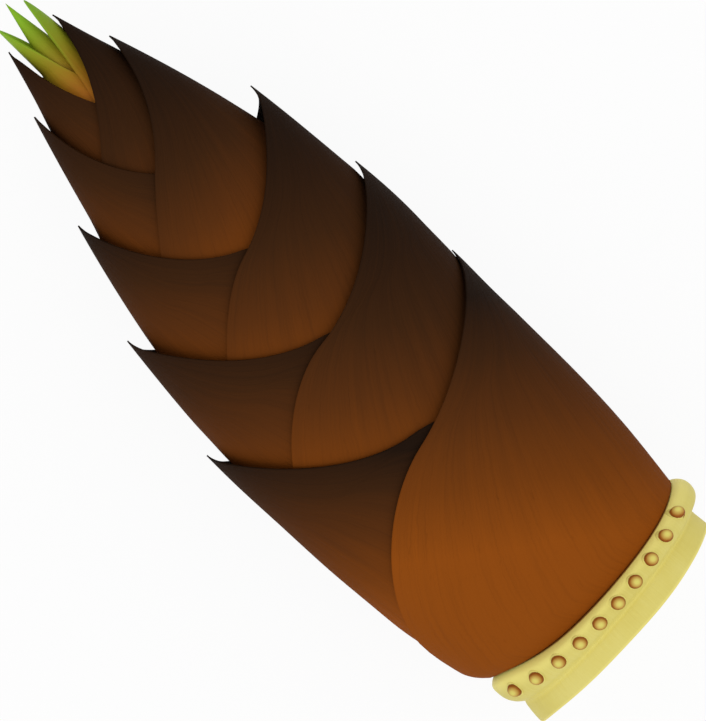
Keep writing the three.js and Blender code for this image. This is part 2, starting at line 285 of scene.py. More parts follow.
@dataclass
class Rest:
    """How the shoot lies: from its own frame in millimetres to its resting place in metres."""

    rise: float = 2.1
    roll: float = 1.05
    turn: Matrix = field(init=False)
    shift: Vector = field(init=False)

    def __post_init__(self) -> None:
        """Works out the turn and starts with no shift."""
        self.turn = (Matrix.Rotation(math.radians(self.rise), 3, "X")
                     @ Matrix.Rotation(-math.radians(self.roll), 3, "Y"))
        self.shift = Vector((0.0, 0.0, 0.0))

    def settle(self, node: str, points: list[Vector]) -> None:
        """Finds the shift that puts a node's own corner points where the node lies.

        Args:
            node: Name of the CAD node.
            points: Its corner points in the shoot's frame.
        """
        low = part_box(node)[0]
        turned = [self.turn @ point * MM for point in points]
        self.shift = Vector([low[i] - min(point[i] for point in turned) for i in range(3)])

    def lay(self, point: Vector) -> Vector:
        """Returns a point's resting place, which is never below the surface it lies on."""
        placed = self.turn @ point * MM + self.shift
        placed.z = max(placed.z, 0.0)
        return placed


# ---- modelling by hand ----


def add_mesh(name: str, primitive: Callable[..., Any], **settings: Any) -> Piece:
    """Adds one mesh primitive while nothing is selected.

    Args:
        name: Name of the new piece.
        primitive: Operator that adds it.
        settings: Settings of the operator.

    Returns:
        The new piece.
    """
    bpy.ops.object.select_all(action="DESELECT")
    primitive(**settings)
    piece = bpy.context.active_object
    piece.name = piece.data.name = name
    return piece


def add_sheet(name: str, columns: int, rows: int) -> Piece:
    """Adds a flat square sheet that runs from -1 to 1 both ways."""
    return add_mesh(name, bpy.ops.mesh.primitive_grid_add,
                    x_subdivisions=columns, y_subdivisions=rows, size=2.0)


def add_column(name: str, sides: int, rings: list[tuple[float, float]],
               fan: bool = False) -> Piece:
    """Models a straight, round column from a disc that is drawn up ring by ring.

    Args:
        name: Name of the new piece.
        sides: Sides of each ring.
        rings: Height and radius of each ring, from the bottom up.
        fan: Whether the top is closed with a fan of triangles.

    Returns:
        The column, which stands on the origin.
    """
    piece = add_mesh(name, bpy.ops.mesh.primitive_circle_add,
                     vertices=sides, radius=rings[0][1], fill_type="NGON")
    with shaping(piece):
        for (low, before), (high, after) in zip(rings, rings[1:]):
            lift = {"value": (0, 0, high - low)}
            bpy.ops.mesh.extrude_region_move(TRANSFORM_OT_translate=lift)
            scale = after / before
            bpy.ops.transform.resize(value=(scale, scale, 1.0), center_override=(0, 0, high))
        if fan:
            bpy.ops.mesh.poke()
    return piece


def pick(piece: Piece) -> None:
    """Selects one piece alone and makes it the active one."""
    bpy.ops.object.select_all(action="DESELECT")
    piece.select_set(True)
    bpy.context.view_layer.objects.active = piece


@contextmanager
def shaping(piece: Piece, select: str = "SELECT") -> Iterator[None]:
    """Opens edit mode on one piece and closes it afterwards.

    Args:
        piece: The piece to shape.
        select: SELECT or DESELECT, for everything in it.

    Yields:
        Nothing; the operators act on the piece meanwhile.
    """
    pick(piece)
    bpy.ops.object.mode_set(mode="EDIT")
    bpy.ops.mesh.select_all(action=select)
    try:
        yield
    finally:
        bpy.ops.object.mode_set(mode="OBJECT")


def move_all(piece: Piece, where: Callable[[Vector], Vector]) -> None:
    """Moves every vertex of a piece to the place that where gives for its old one."""
    for vertex in piece.data.vertices:
        vertex.co = where(vertex.co.copy())
    piece.data.update()


def write_chart(piece: Piece, name: str, value: Callable[[Vector], tuple[float, float]]) -> None:
    """Writes a UV map from the places that the vertices have now.

    Args:
        piece: The piece to chart.
        name: Name of the map.
        value: Gives the two map values of a place.
    """
    mesh = piece.data
    layer = mesh.uv_layers.new(name=name)
    values = [value(vertex.co) for vertex in mesh.vertices]
    for loop in mesh.loops:
        layer.data[loop.index].uv = values[loop.vertex_index]


def give_wall(piece: Piece, full: float, thickness: Callable[[Vector], float]) -> None:
    """Gives a flat sheet the wall that it has once it is rolled, inward from its outer face.

    Args:
        piece: The flat sheet.
        full: Millimetres of wall where it is thickest.
        thickness: Gives the millimetres of wall at a place of the sheet.
    """
    group = piece.vertex_groups.new(name="thickness")
    for vertex in piece.data.vertices:
        group.add([vertex.index], thickness(vertex.co) / full, "REPLACE")
    wall = piece.modifiers.new("wall", "SOLIDIFY")
    wall.thickness = full * MM
    wall.offset = -1.0
    wall.vertex_group = group.name


def roll_up(piece: Piece, where: Callable[[Vector], Vector], axis_height: float) -> None:
    """Rolls a sheet up, closes its seam and turns its faces outward.

    Args:
        piece: The flat sheet.
        where: Gives a vertex its new place from its old one.
        axis_height: How high the axis of the roll lies.
    """
    move_all(piece, where)
    with shaping(piece):
        bpy.ops.mesh.remove_doubles(threshold=SEAM_GAP)
        bpy.ops.mesh.normals_make_consistent(inside=False)
    outward = 0.0
    for face in piece.data.polygons:
        axis = Vector((0.0, face.center.y, axis_height))
        outward += (face.center - axis).dot(face.normal) * face.area
    if outward < 0.0:
        with shaping(piece):
            bpy.ops.mesh.flip_normals()


def smooth_off(piece: Piece, sharp: float = 50.0) -> None:
    """Applies a piece's modifiers and shades it smooth, apart from its sharp edges.

    Args:
        piece: The piece to finish.
        sharp: Edges that turn by more degrees than this stay sharp.
    """
    pick(piece)
    for modifier in list(piece.modifiers):
        bpy.ops.object.modifier_apply(modifier=modifier.name)
    bpy.ops.object.shade_smooth_by_angle(angle=math.radians(sharp))


# ---- shader sums ----


def pigment(code: str, gain: float = 1.0) -> tuple[float, float, float, float]:
    """Returns the linear colour of a six-digit code, times a gain."""
    parts = [int(code[i:i + 2], 16) / 255.0 for i in (0, 2, 4)]
    linear = [p / 12.92 if p <= 0.04045 else ((p + 0.055) / 1.055) ** 2.4 for p in parts]
    return (linear[0] * gain, linear[1] * gain, linear[2] * gain, 1.0)


def operator(operation: str, swapped: bool = False) -> Callable[..., "Signal"]:
    """Makes the method for one operation.

    Args:
        operation: Operation of the Math node.
        swapped: Whether the other value comes first, as in a reflected operator.

    Returns:
        The method.
    """

    def method(self: "Signal", *others: "Signal | float") -> "Signal":
        """Adds one Math node and returns its result."""
        values = (*others, self) if swapped else (self, *others)
        return self.easel.add("Math", {"operation": operation}, dict(enumerate(values)))

    return method


class Signal:
    """One socket of a material, for use in plain sums."""

    def __init__(self, easel: "Easel", socket: Socket | None) -> None:
        """Keeps the socket and the easel that it belongs to."""
        self.easel = easel
        self.socket = socket

    __add__, __radd__ = operator("ADD"), operator("ADD", swapped=True)
    __sub__, __rsub__ = operator("SUBTRACT"), operator("SUBTRACT", swapped=True)
    __mul__, __rmul__ = operator("MULTIPLY"), operator("MULTIPLY", swapped=True)
    __truediv__, __pow__, size = operator("DIVIDE"), operator("POWER"), operator("ABSOLUTE")

    def ease(self, low: float, high: float) -> "Signal":
        """Returns 0 below low, 1 above high and a soft curve between them."""
        return self.easel.add("MapRange", {"interpolation_type": "SMOOTHSTEP"},
                              {"Value": self, "From Min": low, "From Max": high})

    def share(self) -> "Signal":
        """Returns the value kept between 0 and 1."""
        return self.easel.add("Clamp", {}, {"Value": self})


class Easel:
    """The node tree of a material or a world and the one way in which nodes are added to it."""

    def __init__(self, holder: Paint | bpy.types.World) -> None:
        """Empties the node tree of a new material or world."""
        holder.use_nodes = True
        self.holder = holder
        self.tree = holder.node_tree
        self.tree.nodes.clear()

    @staticmethod
    def _find(sockets: Any, key: int | str) -> Socket:
        """Returns a socket by its number, identifier or name."""
        if isinstance(key, int):
            return sockets[key]
        return next(s for s in sockets if key in (s.identifier, s.name))

    def add(self, kind: str, settings: dict[str, Any], sockets: dict[int | str, Any],
            output: int | str = 0) -> Signal:
        """Adds one node.

        Args:
            kind: Type of the node, without the start that all types share.
            settings: Its settings, set first; "stops" are a ramp's (position, colour) pairs.
            sockets: Values or signals of its inputs.
            output: Which output to return.

        Returns:
            The chosen output.
        """
        node = self.tree.nodes.new(f"ShaderNode{kind}")
        for key, value in settings.items():
            if key == "stops":
                self._set_stops(node.color_ramp, value)
            else:
                setattr(node, key, value)
        for key, value in sockets.items():
            socket = self._find(node.inputs, key)
            if isinstance(value, Signal):
                self.tree.links.new(value.socket, socket)
            else:
                socket.default_value = value
        return Signal(self, self._find(node.outputs, output) if node.outputs else None)

    @staticmethod
    def _set_stops(ramp: bpy.types.ColorRamp, stops: list[tuple[float, Any]]) -> None:
        """Gives a ramp its stops.

        Args:
            ramp: The ramp.
            stops: Position and colour of each stop.
        """
        while len(ramp.elements) < len(stops):
            ramp.elements.new(1.0)
        for element, (position, colour) in zip(ramp.elements, stops):
            element.position = position
            element.color = colour

    def ramp(self, factor: Signal, stops: list[tuple[float, str]], gain: float = 1.0) -> Signal:
        """Returns a colour that runs through stops of (position, colour code), times a gain."""
        colours = [(position, pigment(code, gain)) for position, code in stops]
        return self.add("ValToRGB", {"stops": colours}, {"Fac": factor}, "Color")

    def blend(self, factor: Signal, first: Any, second: Any) -> Signal:
        """Returns the first colour, with a share of the second one in it."""
        return self.add("Mix", {"data_type": "RGBA"},
                        {"Factor_Float": factor, "A_Color": first, "B_Color": second},
                        "Result_Color")

    def backdrop(self) -> Signal:
        """Returns 1 for rays that see the backdrop as it is, straight on or in a reflection."""
        rays = [self.add("LightPath", {}, {}, f"Is {kind} Ray")
                for kind in ("Camera", "Glossy", "Transmission")]
        return (rays[0] + rays[1] + rays[2]).share()

    def place(self) -> Signal:
        """Returns the place on the object, in metres."""
        return self.add("TexCoord", {}, {}, "Object")

    def chart(self, name: str) -> tuple[Signal, Signal]:
        """Returns the two values of a UV map."""
        uv = self.add("UVMap", {"uv_map": name}, {}, "UV")
        parts = [self.add("SeparateXYZ", {}, {"Vector": uv}, axis) for axis in ("X", "Y")]
        return parts[0], parts[1]

    def spot(self, x: "Signal | float", y: "Signal | float", z: "Signal | float" = 0.0) -> Signal:
        """Returns a vector from three values."""
        return self.add("CombineXYZ", {}, {"X": x, "Y": y, "Z": z})

    def grain(self, where: Signal, scale: float, detail: float = 2.0,
              rough: float = 0.5) -> Signal:
        """Returns soft noise between 0 and 1, with scale features for each unit of a vector."""
        values = {"Vector": where, "Scale": scale, "Detail": detail, "Roughness": rough}
        return self.add("TexNoise", {"noise_dimensions": "3D"}, values, "Fac")

    def measure(self, operation: str, where: Signal, vector: Vector) -> Signal:
        """Returns the value of a Vector Math operation on a place and a fixed vector."""
        return self.add("VectorMath", {"operation": operation},
                        {0: where, 1: tuple(vector)}, "Value")

    def finish(self, colour: Signal, roughness: Signal, specular: float, height: Signal,
               depth: float) -> Paint:
        """Ends the material with a plain shader.

        Args:
            colour: Base colour.
            roughness: Roughness.
            specular: Specular level.
            height: Height of the surface's relief, between 0 and 1.
            depth: Millimetres between the heights 0 and 1.

        Returns:
            The material.
        """
        relief = {"Height": height, "Distance": depth * MM, "Strength": 1.0}
        shader = self.add("BsdfPrincipled", {}, {
            "Base Color": colour, "Roughness": roughness, "Specular IOR Level": specular,
            "Normal": self.add("Bump", {}, relief, "Normal")}, "BSDF")
        self.add("OutputMaterial", {}, {"Surface": shader})
        return self.holder


# ---- finishes ----

# Direction, in the shoot's own frame, along which the colour of an untilted husk darkens: its
# pigment deepens towards the tip, and painted shade darkens its right side as if it were lit from
# the left.
PIGMENT_AND_SHADE_AXIS = Vector((0.701, 0.702, -0.124))
PIGMENT_AND_SHADE_START = 5.2
# Where the green leaves leave the sheaths, in the shoot's own frame.
THROAT = Vector((-1.0, 250.0, 9.5))


@dataclass(frozen=True)
class SheathFinish:
    """Dry husk: brown pigment that deepens towards the tip, with painted shade that darkens its
    right side, over fine veins.

    Attributes:
        dark_at: Millimetres along the deepening and the painted shade at which the colour is
            darkest.
        fade: Millimetres over which it fades to rust.
        bend: How much slower it fades near its darkest end.
        tilt: Degrees by which its deepening and painted shade are turned towards the tip of the
            shoot.
        seed: Keeps the grain of two husks apart.
    """

    dark_at: float
    fade: float
    bend: float
    tilt: float
    seed: float

    def make(self, name: str, rest: Rest) -> Paint:
        """Builds the material.

        Args:
            name: Name of the material.
            rest: How the shoot lies.

        Returns:
            The material.
        """
        easel = Easel(bpy.data.materials.new(name))
        place = easel.place()
        vein, height = easel.chart("veins")
        margin, foot = easel.chart("edges")
        direction = rest.turn @ Matrix.Rotation(math.radians(self.tilt), 3, "Z") @ PIGMENT_AND_SHADE_AXIS
        start = PIGMENT_AND_SHADE_START - direction.dot(rest.shift) / MM
        along = easel.measure("DOT_PRODUCT", place, direction) / MM + start
        fine = easel.grain(easel.spot(vein * 110.0, height * 3.0, self.seed), 1.0, 3.0, 0.6)
        broad = easel.grain(easel.spot(vein * 26.0, height * 1.6, self.seed + 7.0), 1.0, 2.0)
        blots = easel.grain(easel.spot(vein * 60.0, height * 14.0, self.seed + 3.0), 1.0, 3.0, 0.6)
        # Tone from pigment that deepens towards the tip, plus painted shade on the right side.
        shade = ((self.dark_at - along) / self.fade).share() ** self.bend
        shade = (shade + (broad - 0.5) * 0.10 + (fine - 0.5) * 0.07).share()
        colour = easel.ramp(shade, [
            (0.0, "21150d"), (0.25, "3d2310"), (0.5, "582f11"), (0.75, "723b10"), (1.0, "8e4911")])
        specks = blots.ease(0.62, 0.78) * 0.12
        edge = (1.0 - margin.ease(0.1, 0.8)) * 0.1 + (1.0 - foot.ease(0.2, 1.1)) * 0.08
        dark = (specks + edge + (0.5 - fine).share() * 0.35).share()
        colour = easel.blend(dark, colour, pigment("000000"))
        bumps = fine * 0.55 + broad * 0.45
        return easel.finish(colour, 0.72 + (fine - 0.5) * 0.2, 0.02, bumps, 0.35)


@dataclass(frozen=True)
class StumpFinish:
    """Peeled stump: cream flesh with fine fibres, a pale band below the first node that is partly a
    pale scar line and partly painted light, painted light in the groove of the root ring, and
    strands in its cut face.
    """

    name: str = "stump_flesh"

    def make(self, form: ShootForm) -> Paint:
        """Builds the material.

        Args:
            form: The shoot's shape, for the height of the lowest scar.

        Returns:
            The material.
        """
        easel = Easel(bpy.data.materials.new(self.name))
        place = easel.place()
        around, height = easel.chart("veins")
        face, reach = easel.chart("cut")
        fine = easel.grain(easel.spot(around * 130.0, height * 6.0), 1.0, 3.0, 0.6)
        cloud = easel.grain(place, 45.0, 3.0)
        rings = easel.grain(easel.spot(around * 2.0, height * 80.0), 1.0, 2.0)
        colour = easel.ramp((cloud * 0.6 + fine * 0.4).share(),
                            [(0.25, "d3c363"), (0.5, "ded072"), (0.8, "e5da86")])
        node = form.first_node / CHART_UNIT
        # Pale band below the first node: a thin pale scar line, widened into painted light against
        # the shade under the sheath's foot.
        shoulder = height.ease(node - 0.045, node - 0.012)
        # Painted light in the groove of the root ring, against the shade that falls there.
        groove_painted_light = height.ease(0.044, 0.062) * (1.0 - height.ease(0.074, 0.09))
        rim = (1.0 - height.ease(-0.029, -0.019)) * (1.0 - face)
        # The pale colour is painted light on the shoulder and in the groove, and a paler band along
        # the cut rim.
        colour = easel.blend((shoulder * 0.8 + groove_painted_light * 0.25 + rim * 0.7).share(), colour,
                             pigment("f6e985"))
        scar = height.ease(node - 0.007, node - 0.004)
        colour = easel.blend(scar, colour, pigment("8a4f1c"))
        strands = easel.add("TexVoronoi", {"feature": "F1"},
                            {"Vector": place, "Scale": 420.0, "Randomness": 0.85}, "Distance")
        dots = (1.0 - strands.ease(0.16, 0.34)) * face
        ring_tone = easel.ramp(reach, [
            (0.0, "efe6b0"), (0.55, "e9dd9a"), (0.86, "dccb78"), (0.95, "c8b25c"), (1.0, "e3d67e")])
        colour = easel.blend(face, colour, ring_tone)
        colour = easel.blend(dots * 0.55, colour, pigment("a98645"))
        bumps = fine * 0.5 + rings * 0.3 + dots * 0.6
        return easel.finish(colour, 0.52 + (cloud - 0.5) * 0.2, 0.1, bumps, 0.25)


@dataclass(frozen=True)
class BudFinish:
    """Root bud: brown skin around a yellow centre, on a pale seat."""

    name: str = "root_bud_skin"

    def make(self) -> Paint:
        """Builds and returns the material."""
        easel = Easel(bpy.data.materials.new(self.name))
        reach, _ = easel.chart("bud")
        speck = easel.grain(easel.place(), 1400.0, 2.0)
        tone = (reach + (speck - 0.5) * 0.08).share()
        colour = easel.ramp(tone, [
            (0.0, "dfd66e"), (0.23, "dccd69"), (0.34, "d6c062"), (0.45, "cdad56"),
            (0.57, "c09646"), (0.68, "ac7430"), (0.75, "98561b"), (0.83, "8f4e17"),
            (0.87, "e9de7c"), (1.0, "ded072")])
        return easel.finish(colour, 0.55 + (speck - 0.5) * 0.2, 0.1, speck, 0.08)


@dataclass(frozen=True)
class LeafFinish:
    """Young leaf: green at its tip, brown where it leaves the sheaths, with bright margins; its
    brown is painted lighter near the throat, as painted light against the throat's shade.

    Attributes:
        name: Name of the material.
        seed: Keeps the grain of two leaves apart.
        gain: How much its pigment is brightened, as painted light against the shade it lies in.
    """

    name: str
    seed: float
    gain: float

    def make(self, rest: Rest) -> Paint:
        """Builds the material.

        Args:
            rest: How the shoot lies.

        Returns:
            The material.
        """
        easel = Easel(bpy.data.materials.new(self.name))
        place = easel.place()
        across, height = easel.chart("veins")
        out = easel.measure("DISTANCE", place, rest.turn @ THROAT * MM + rest.shift) / MM
        fine = easel.grain(easel.spot(across * 14.0, height * 4.0, self.seed), 1.0, 2.0)
        tone = ((out - 4.0) / 36.0).share() + (fine - 0.5) * 0.12
        # The brown stops near the throat are painted lighter, as painted light against the throat's
        # shade.
        colour = easel.ramp(tone, [
            (0.0, "b8701d"), (0.14, "a26b1b"), (0.34, "95781c"), (0.52, "8a831d"),
            (0.74, "809421"), (0.95, "7ca825")], self.gain)
        edge = across.size().ease(0.9, 0.99) * ((out - 12.0) / 24.0).share()
        colour = easel.blend(edge * 0.5, colour, pigment("89b731"))
        return easel.finish(colour, 0.45 + (fine - 0.5) * 0.2, 0.08, fine, 0.12)


# ---- sub-assemblies ----


@dataclass
class Organ:
    """A part of the shoot, modelled straight or flat and then bent to where it rests."""

    form: ShootForm
    rest: Rest

    def lay(self, angle: float, y: float, radius: float, shift: float = 0.0) -> Vector:
        """Returns the resting place of a point on a ring around the axis."""
        return self.rest.lay(self.form.ring_point(angle, y, radius, shift))

    def dress(self, piece: Piece, node: str, slot: Slot, paint: Paint) -> None:
        """Dresses a finished piece and puts it in the place of its CAD node.

        Args:
            piece: The finished piece.
            node: Name of the CAD node that it stands for.
            slot: Material slot that it takes its finish from; not used.
            paint: Its material.
        """
        piece.data.materials.append(paint)
        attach(piece, "root")
        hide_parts(node)
        piece.data.calc_loop_triangles()
        LOG.info("%s: %d triangles", piece.name, len(piece.data.loop_triangles))


@dataclass
class Stump(Organ):
    """The cream stump, the culm inside the sheaths and its growing point."""

    sides: int = 144
    ring: Rows = (
        (-3.1, 42.4, -4.2), (-2.4, 42.9, -4.2), (4.6, 42.4, -3.1), (6.6, 42.2, -2.5),
        (7.6, 43.8, -1.7), (9.0, 45.8, -1.0), (11.4, 47.1, -1.0), (14.0, 47.3, -1.1),
        (15.6, 46.4, -1.3), (16.6, 44.3, -0.6), (17.1, 42.6, -0.2))
    ring_middle: float = 12.0
    wave_steps: int = 12
    cut_waves: Rows = (
        (1.4, -62.0, 30.0), (-1.1, 22.0, 28.0), (0.6, 76.0, 18.0))
    cut_wave_top: float = 6.0
    growing_point: Rows = (
        (205.0, 26.6), (224.0, 17.0), (236.0, 10.0), (245.0, 5.5))
    core_heights: tuple[float, ...] = (115.0, 130.0, 145.0, 160.0, 175.0, 188.0)
    clearance: float = 0.6
    ring_rows: int = 48
    face_rings: int = 14
    rim_width: float = 0.5
    rim_skin: float = 0.3
    least_step: float = 0.1

    def half_width(self, y: float) -> float:
        """Returns the half width of the bare stump at a height."""
        return through(self.ring, y, 1)

    def ring_shift(self, y: float) -> float:
        """Returns how far the bare stump is shifted to the right at a height."""
        return through(self.ring, y, 2)

    def wave(self, angle: float, y: float) -> float:
        """Returns how far a ring below the first node follows the waves of the lowest foot."""
        return self.form.foot_wave(angle) * smoothstep(y, self.ring_middle, self.form.first_node)

    def cut_wave(self, angle: float, y: float) -> float:
        """Returns how unevenly the knife left the rim, fading out above it."""
        fade = 1.0 - smoothstep(y, self.ring[0][0], self.cut_wave_top)
        return fade * waves(self.cut_waves, angle)

    def skin(self, angle: float, height: float, lift: float) -> Vector:
        """Finds the point that stands above the bare stump.

        Args:
            angle: Degrees around the shoot.
            height: Height, with the waves in it.
            lift: How far the point stands above the stump.

        Returns:
            The point in the shoot's frame.
        """
        y = height
        for _ in range(self.wave_steps):
            y = (y + height - self.wave(angle, y)) / 2.0
        return self.form.ring_point(angle, height, self.half_width(y) + lift, self.ring_shift(y))

    def stations(self) -> list[tuple[float, float]]:
        """Lists the rings of the straight culm.

        Returns:
            Height and half width of each, from the cut up.
        """
        low, high = self.ring[0][0], self.ring[-1][0]
        heights = [lerp(low, high, i / self.ring_rows) for i in range(self.ring_rows + 1)]
        rows = [(y, self.half_width(y)) for y in heights]
        for index in range(self.form.layers):
            y = self.form.first_node + index * self.form.node_spacing - self.clearance
            y = max(y, high + self.least_step)
            rows.append((y, self.form.layer_radius(self.form.layers - index - 1, y)))
        rows += [(y, self.form.core_radius(y) - self.clearance) for y in self.core_heights]
        return [*rows, *self.growing_point]

    def build(self) -> None:
        """Models the culm as a straight column, bends it and dresses it."""
        rows = self.stations()
        foot, rim = rows[0]
        top = self.ring[-1][0] + self.least_step / 2.0
        culm = add_column("culm_looks", self.sides, rows, fan=True)
        self._ring_cut_face(culm)

        def cut(co: Vector) -> tuple[float, float]:
            """Returns whether a place is on the cut face, and its reach as a share of the rim's."""
            reach = reach_of(co)
            return float(co.z < ON_CUT and reach < rim - self.rim_skin), reach / rim

        write_chart(culm, "veins", lambda co: (
            abs(angle_of(co)) / 90.0, (co.z + foot) / CHART_UNIT))
        write_chart(culm, "cut", cut)

        def bend(co: Vector) -> Vector:
            """Bends the straight, round culm.

            Args:
                co: Point of it.

            Returns:
                Its resting place.
            """
            y, angle = co.z + foot, angle_of(co)
            shift = self.ring_shift(y) if y < top else 0.0
            if y < self.form.first_node:
                y += self.wave(angle, y) + self.cut_wave(angle, y) * min(reach_of(co) / rim, 1.0)
            return self.lay(angle, y, reach_of(co), shift)

        move_all(culm, bend)
        with shaping(culm):
            bpy.ops.mesh.normals_make_consistent(inside=False)
        smooth_off(culm)
        self.dress(culm, "culm", Slot.STUMP, StumpFinish().make(self.form))

    def _ring_cut_face(self, culm: Piece) -> None:
        """Insets the cut face into rings and closes it in the middle.

        Args:
            culm: The straight culm.
        """
        step = self.ring[0][1] / self.face_rings
        with shaping(culm, "DESELECT"):
            bpy.ops.object.mode_set(mode="OBJECT")
            for face in culm.data.polygons:
                face.select = len(face.vertices) == self.sides
            bpy.ops.object.mode_set(mode="EDIT")
            bpy.ops.mesh.inset(thickness=self.rim_width)
            for _ in range(self.face_rings - 2):
                bpy.ops.mesh.inset(thickness=step)
            bpy.ops.mesh.poke()


@dataclass
class Sheath(Organ):
    """One husk: a thin wall wrapped all the way around, with a pointed, slanting margin.

    Attributes:
        finish: Its finish.
        index: Place in the row, 0 for the outermost.
        side: Side on which its tip stands.
        tip: Height of the tip.
        cross: Height of the margin on the upper side, a quarter turn from the tip.
        shoulder: Slope with which the margin leaves the tip, for each quarter turn.
        sweep: Slope at cross.
        drop: Fall from cross to the back.
        under: Shift of cross on the lower side.
        stand_foot: How far it stands off where it comes out from under the husk below.
        stand_end: How far its tip stands off.
        stand_from: Height at which it comes out.
    """

    finish: SheathFinish
    index: int
    side: Side
    tip: float
    cross: float
    shoulder: float
    sweep: float
    drop: float
    under: float
    stand_foot: float
    stand_end: float
    stand_from: float
    wall: float = 1.3
    margin_wall: float = 0.5
    point_height: float = 1.5
    point_angle: float = 14.0
    point_power: float = 1.2
    under_shoulder: float = -34.0
    back_sweep: float = -105.0
    least_collar: float = 5.0
    stand_angle: float = 55.0
    stand_power: float = 1.5
    stand_lead: float = 20.0
    crowding: float = 0.55
    axis_height: float = 0.045
    columns: int = 180
    rows: int = 56

    def __post_init__(self) -> None:
        """Tabulates the margin of both sides for the run of the veins."""
        self.edges = {sign: [self.margin(sign * turn) for turn in range(181)] for sign in (1, -1)}

    @property
    def name(self) -> str:
        """Name of the CAD node that this husk stands for."""
        return f"sheath_{self.side.name.lower()}_{self.index // 2 + 1}"

    def turn(self, column: float) -> float:
        """Returns the degrees from the tip line at a column between -1 and 1."""
        return 180.0 * ((1.0 - self.crowding) * column + self.crowding * column ** 3)

    def angle(self, turn: float) -> float:
        """Returns the angle around the shoot, from -180 to 180."""
        return (self.side.value * (90.0 - turn) + 180.0) % 360.0 - 180.0

    def foot(self, angle: float) -> float:
        """Returns the height at which the husk is attached."""
        foot = self.form.first_node + self.index * self.form.node_spacing
        return foot + (self.form.foot_wave(angle) if self.index == 0 else 0.0)

    def margin(self, turn: float) -> float:
        """Follows the margin from the tip to the back.

        Args:
            turn: Degrees from the tip line, positive on the upper side.

        Returns:
            Height of the margin.
        """
        away = abs(turn)
        shoulder = self.under_shoulder if turn < 0.0 else self.shoulder
        cross = self.cross + (self.under if turn < 0.0 else 0.0)
        if away <= 90.0:
            point = self.point_height * clamp(1.0 - away / self.point_angle) ** self.point_power
            start = self.tip - self.point_height
            return point + hermite(away / 90.0, start, shoulder, cross, self.sweep)
        foot = self.foot(self.angle(turn))
        back = max(self.cross - self.drop, foot + self.least_collar)
        return hermite((away - 90.0) / 90.0, cross, self.sweep, back, self.back_sweep)

    def spread(self, turn: float, y: float) -> float:
        """Finds the vein that passes at a place.

        Args:
            turn: Degrees from the tip line.
            y: Height.

        Returns:
            The vein, from -1 at one margin to 1 at the other.
        """
        table = self.edges[1 if turn >= 0.0 else -1]
        edge = 180.0
        if y > table[180]:
            edge = next((a for a in range(180, -1, -1) if table[a] >= y), 0) + 0.5
        return clamp(turn / max(edge, 1.0), -1.0, 1.0)

    def stand_off(self, turn: float, y: float) -> float:
        """Finds how far the husk stands off at a place.

        Args:
            turn: Degrees from the tip line.
            y: Height.

        Returns:
            The distance.
        """
        near = 1.0 - smoothstep(abs(turn), 0.0, self.stand_angle)
        if y < self.stand_from:
            lead = smoothstep(y, self.stand_from - self.stand_lead, self.stand_from)
            return near * self.stand_foot * lead
        rise = clamp((y - self.stand_from) / (self.tip - self.stand_from))
        return near * lerp(self.stand_foot, self.stand_end, rise ** self.stand_power)

    def spot(self, co: Vector) -> tuple[float, float, float, float]:
        """Reads a spot of the flat husk, with its foot at y = -1 and its margin at y = 1.

        Args:
            co: The spot.

        Returns:
            Turn from the tip line, height, foot height and margin height.
        """
        turn = self.turn(co.x)
        foot, top = self.foot(self.angle(turn)), self.margin(turn)
        return turn, lerp(foot, top, (co.y + 1.0) / 2.0), foot, top

    def veins(self, co: Vector) -> tuple[float, float]:
        """Returns the vein and the height on the chart at a spot of the flat husk."""
        turn, y, _, _ = self.spot(co)
        return self.spread(turn, y), y / CHART_UNIT

    def edge_reach(self, co: Vector) -> tuple[float, float]:
        """Returns how far a spot is from the margin and from the foot."""
        _, y, foot, top = self.spot(co)
        return top - y, y - foot

    def wall_at(self, co: Vector) -> float:
        """Returns the thickness of the wall at a spot of the flat husk."""
        return lerp(self.wall, self.margin_wall, ((co.y + 1.0) / 2.0) ** 3)

    def wrap(self, co: Vector) -> Vector:
        """Returns the resting place of a spot of the flat husk."""
        turn, y, _, _ = self.spot(co)
        radius = self.form.layer_radius(self.form.layers - self.index, y) + self.stand_off(turn, y)
        return self.lay(self.angle(turn), y, radius)

    def build(self) -> None:
        """Models the husk as a sheet that is rolled around the shoot, and dresses it."""
        sheath = add_sheet(f"{self.name}_looks", self.columns, self.rows)
        write_chart(sheath, "veins", self.veins)
        write_chart(sheath, "edges", self.edge_reach)
        give_wall(sheath, self.wall, self.wall_at)
        roll_up(sheath, self.wrap, self.axis_height)
        smooth_off(sheath)
        paint = self.finish.make(f"{self.name}_husk", self.rest)
        self.dress(sheath, self.name, Slot.SHEATH, paint)


